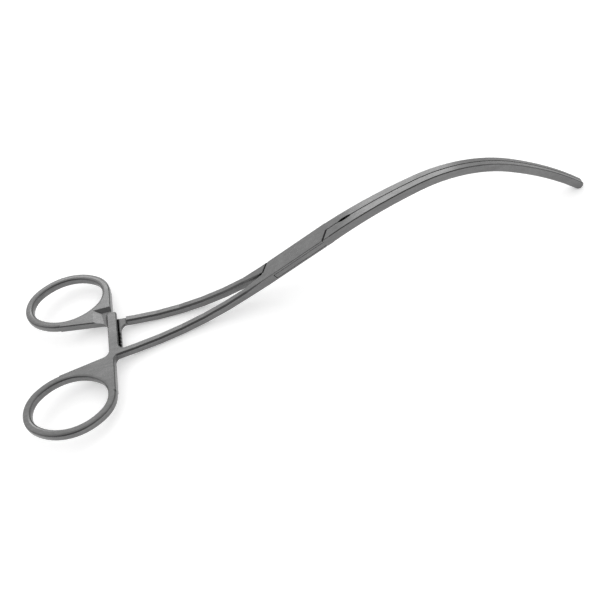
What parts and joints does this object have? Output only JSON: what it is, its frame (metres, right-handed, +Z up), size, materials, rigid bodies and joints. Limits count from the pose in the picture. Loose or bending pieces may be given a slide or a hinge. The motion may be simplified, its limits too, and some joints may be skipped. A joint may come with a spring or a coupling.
{
  "type": "peripheral vascular clamp",
  "caption": "Ratcheted vascular clamp: long jaws in a double curve, box lock on a rivet, bent slim shanks with a ratchet, oval finger rings.",
  "frame": {"origin": "bottom centre of the bounding box, with the closed clamp lying on its jaw tips and the undersides of its shank bends", "axes": "+X along the clamp towards the jaw tips, +Y towards the tongue half's finger ring, +Z up"},
  "size_m": [0.267, 0.094, 0.0379],
  "materials": {
    "satin_steel": "satin",
    "pin_steel": "satin"
  },
  "bodies": {
    "box": {"box_half": "satin_steel", "joint_pin": "pin_steel"},
    "tongue": {"tongue_half": "satin_steel"}
  },
  "joints": [
    {"name": "box_lock", "type": "hinge", "parent": "box", "child": "tongue", "pos_m": [0.00218, 0, 0.01786], "axis": [0.354, 0, -0.9352], "range_deg": [0, 70]}
  ]
}
